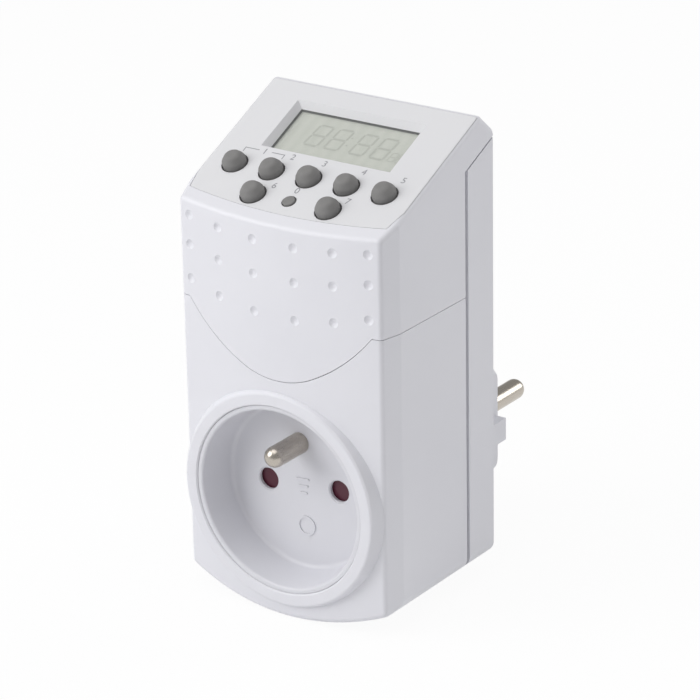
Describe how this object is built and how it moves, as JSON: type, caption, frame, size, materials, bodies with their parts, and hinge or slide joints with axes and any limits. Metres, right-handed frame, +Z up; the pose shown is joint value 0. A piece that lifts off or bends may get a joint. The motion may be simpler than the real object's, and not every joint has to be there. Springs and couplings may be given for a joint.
{
  "type": "plug in timer switch",
  "caption": "Digital plug in timer: white case with a tilted panel of conical keys and a display, a round earthed socket in front and a plug with two pins behind",
  "frame": {"origin": "centre of the plug on the wall plane, the rear face of the case", "axes": "X to the right seen from the front, Y back into the wall, Z up"},
  "size_m": [0.0544, 0.0844, 0.1089],
  "materials": {
    "case_white": "satin white ABS",
    "panel_white": "satin white ABS plate",
    "clear_window": "clear acrylic",
    "display": "pale display glass",
    "frame_white": "moulded",
    "contact_rubber": "soft",
    "mat_rubber": "soft",
    "key_grey": "fine matt",
    "board_green": "solder mask",
    "chip_black": "epoxy",
    "can_metal": "drawn can",
    "header_black": "moulded",
    "relay_black": "moulded",
    "capacitor_yellow": "moulded",
    "capacitor_sleeve": "sleeve",
    "varistor_blue": "dipped",
    "socket_white": "satin thermoset",
    "shutter_burgundy": "moulded",
    "nickel_plate": "nickel plated brass",
    "spring_steel": "wire",
    "contact_brass": "sheet",
    "screw_steel": "zinc plated"
  },
  "bodies": {
    "housing": {"rear_shell": "case_white", "lower_front_housing": "case_white", "upper_front_cover": "case_white", "control_panel": "panel_white", "lcd_lens": "clear_window", "lcd_glass": "display", "lcd_frame": "frame_white", "zebra_strips": "contact_rubber", "keypad_mat": "mat_rubber", "control_board": "board_green", "microcontroller": "chip_black", "quartz_crystal": "can_metal", "backup_battery": "can_metal", "board_header": "header_black", "power_board": "board_green", "relay": "relay_black", "film_capacitor": "capacitor_yellow", "electrolytic_capacitor": "capacitor_sleeve", "varistor": "varistor_blue", "fuse": "header_black", "socket_insert": "socket_white", "socket_earth_pin": "nickel_plate", "shutter_spring": "spring_steel", "contact_carrier": "frame_white", "line_contact": "contact_brass", "neutral_contact": "contact_brass", "plug_body": "case_white", "line_pin": "nickel_plate", "neutral_pin": "nickel_plate", "plug_earth_clips": "nickel_plate", "line_strap": "contact_brass", "neutral_strap": "contact_brass", "switched_strap": "contact_brass", "earth_strap": "contact_brass", "housing_screws": "screw_steel"},
    "key_1": {"key_1": "key_grey"},
    "key_2": {"key_2": "key_grey"},
    "key_3": {"key_3": "key_grey"},
    "key_4": {"key_4": "key_grey"},
    "key_5": {"key_5": "key_grey"},
    "key_6": {"key_6": "key_grey"},
    "key_7": {"key_7": "key_grey"},
    "reset_key": {"reset_key": "key_grey"},
    "socket_shutter": {"socket_shutter": "shutter_burgundy"}
  },
  "joints": [
    {"name": "key_1_press", "type": "slide", "parent": "housing", "child": "key_1", "axis": [0, 0.4226, -0.9063], "range_m": [0, 0.0008], "stiffness_N_per_m": 400},
    {"name": "key_2_press", "type": "slide", "parent": "housing", "child": "key_2", "axis": [0, 0.4226, -0.9063], "range_m": [0, 0.0008], "stiffness_N_per_m": 400},
    {"name": "key_3_press", "type": "slide", "parent": "housing", "child": "key_3", "axis": [0, 0.4226, -0.9063], "range_m": [0, 0.0008], "stiffness_N_per_m": 400},
    {"name": "key_4_press", "type": "slide", "parent": "housing", "child": "key_4", "axis": [0, 0.4226, -0.9063], "range_m": [0, 0.0008], "stiffness_N_per_m": 400},
    {"name": "key_5_press", "type": "slide", "parent": "housing", "child": "key_5", "axis": [0, 0.4226, -0.9063], "range_m": [0, 0.0008], "stiffness_N_per_m": 400},
    {"name": "key_6_press", "type": "slide", "parent": "housing", "child": "key_6", "axis": [0, 0.4226, -0.9063], "range_m": [0, 0.0008], "stiffness_N_per_m": 400},
    {"name": "key_7_press", "type": "slide", "parent": "housing", "child": "key_7", "axis": [0, 0.4226, -0.9063], "range_m": [0, 0.0008], "stiffness_N_per_m": 400},
    {"name": "reset_key_press", "type": "slide", "parent": "housing", "child": "reset_key", "axis": [0, 0.4226, -0.9063], "range_m": [0, 0.0008], "stiffness_N_per_m": 400},
    {"name": "shutter_slide", "type": "slide", "parent": "housing", "child": "socket_shutter", "axis": [0.9972, 0, 0.075], "range_m": [0, 0.006], "stiffness_N_per_m": 60, "deforming": ["shutter_spring"]}
  ]
}
